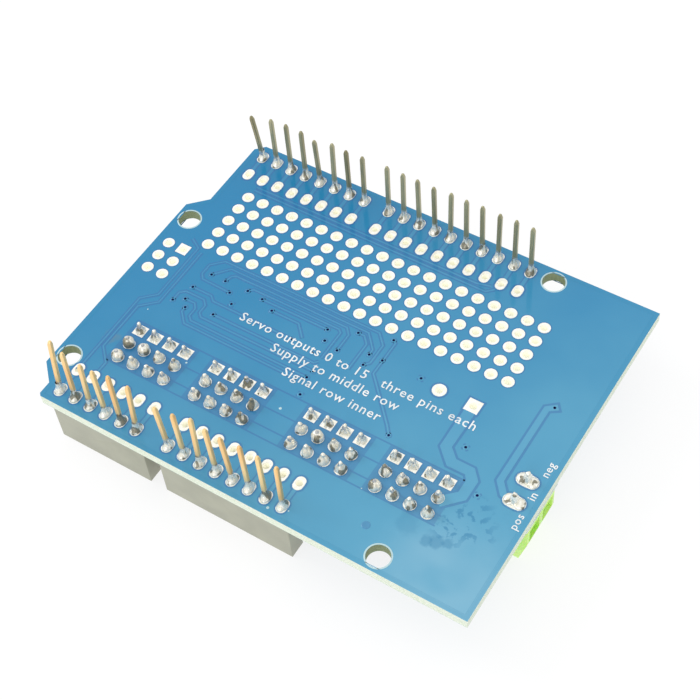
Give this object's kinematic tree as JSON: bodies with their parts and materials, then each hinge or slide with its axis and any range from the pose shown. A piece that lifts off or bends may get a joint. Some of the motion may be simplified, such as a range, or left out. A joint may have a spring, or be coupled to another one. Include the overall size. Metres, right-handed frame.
{
  "type": "servo driver board",
  "caption": "Stackable shield board that drives hobby servos from pin headers, with long-pin stacking headers, a screw terminal block, a prototyping grid and a reset button.",
  "frame": {"origin": "centre of the board's outline, on the plane of the stacking headers' mouths that the board lies on", "axes": "+X towards the edge with the screw terminal block, +Y towards the digital stacking headers, +Z out of the solder side; the component side faces down"},
  "size_m": [0.0678, 0.0526, 0.0194],
  "materials": {
    "board": "blue solder mask over glass-fibre laminate",
    "tin": "tinned copper",
    "solder": "bright solder",
    "gilt": "thin gold plate",
    "header_grey": "moulded",
    "strip_yellow": "moulded",
    "strip_red": "moulded",
    "strip_black": "moulded",
    "moulded_black": "moulded",
    "ceramic_tan": "fired ceramic",
    "white_plastic": "moulded",
    "lens": "tinted clear",
    "terminal_green": "moulded",
    "steel": "zinc plated",
    "brass": "nickel-washed brass"
  },
  "bodies": {
    "board": {"address_lands": "tin", "analog_header": "header_grey", "analog_header_contacts": "gilt", "button_base": "moulded_black", "button_cover": "steel", "button_dome": "steel", "button_leads": "tin", "capacitor_lands": "tin", "chip_capacitors": "ceramic_tan", "chip_part_ends": "tin", "chip_resistors": "moulded_black", "circuit_board": "board", "digital_header_high": "header_grey", "digital_header_high_contacts": "gilt", "digital_header_low": "header_grey", "digital_header_low_contacts": "gilt", "driver_chip": "moulded_black", "driver_chip_leads": "tin", "header_lands": "tin", "header_solder": "solder", "led_base": "white_plastic", "led_lens": "lens", "polarity_transistor": "moulded_black", "power_header": "header_grey", "power_header_contacts": "gilt", "programming_lands": "tin", "prototype_lands": "tin", "resistor_array_ends": "tin", "resistor_arrays": "moulded_black", "second_row_lands": "tin", "servo_ground_strip_1": "strip_black", "servo_ground_strip_2": "strip_black", "servo_ground_strip_3": "strip_black", "servo_ground_strip_4": "strip_black", "servo_lands": "tin", "servo_pins_1": "gilt", "servo_pins_2": "gilt", "servo_pins_3": "gilt", "servo_pins_4": "gilt", "servo_signal_strip_1": "strip_yellow", "servo_signal_strip_2": "strip_yellow", "servo_signal_strip_3": "strip_yellow", "servo_signal_strip_4": "strip_yellow", "servo_solder": "solder", "servo_supply_strip_1": "strip_red", "servo_supply_strip_2": "strip_red", "servo_supply_strip_3": "strip_red", "servo_supply_strip_4": "strip_red", "surface_lands": "tin", "terminal_contact_1": "tin", "terminal_contact_2": "tin", "terminal_housing": "terminal_green", "terminal_lands": "tin", "terminal_solder": "solder", "transistor_leads": "tin"},
    "terminal_screw_1": {"terminal_screw_1": "steel"},
    "terminal_screw_2": {"terminal_screw_2": "steel"},
    "terminal_clamp_1": {"terminal_clamp_1": "brass"},
    "terminal_clamp_2": {"terminal_clamp_2": "brass"},
    "reset_plunger": {"button_plunger": "moulded_black"}
  },
  "joints": [
    {"name": "terminal_screw_1_turn", "type": "hinge", "parent": "board", "child": "terminal_screw_1", "pos_m": [0.03091, -0.00919, 0.0035], "axis": [0, 0, 1], "range_deg": [0, 1260.1]},
    {"name": "terminal_screw_2_turn", "type": "hinge", "parent": "board", "child": "terminal_screw_2", "pos_m": [0.03091, -0.00569, 0.0035], "axis": [0, 0, 1], "range_deg": [0, 1260.1]},
    {"name": "terminal_clamp_1_rise", "type": "slide", "parent": "board", "child": "terminal_clamp_1", "axis": [0, 0, -1], "range_m": [0, 0.0014]},
    {"name": "terminal_clamp_2_rise", "type": "slide", "parent": "board", "child": "terminal_clamp_2", "axis": [0, 0, -1], "range_m": [0, 0.0014]},
    {"name": "reset_press", "type": "slide", "parent": "board", "child": "reset_plunger", "axis": [0, 0, 1], "range_m": [0, 0.00025], "stiffness_N_per_m": 4000, "springref_m": -0.00005, "deforming": ["button_dome"]}
  ],
  "couplings": [
    {"joint": "terminal_screw_1_turn", "follows": "terminal_clamp_1_rise", "rad_per_m": 15708},
    {"joint": "terminal_screw_2_turn", "follows": "terminal_clamp_2_rise", "rad_per_m": 15708}
  ]
}
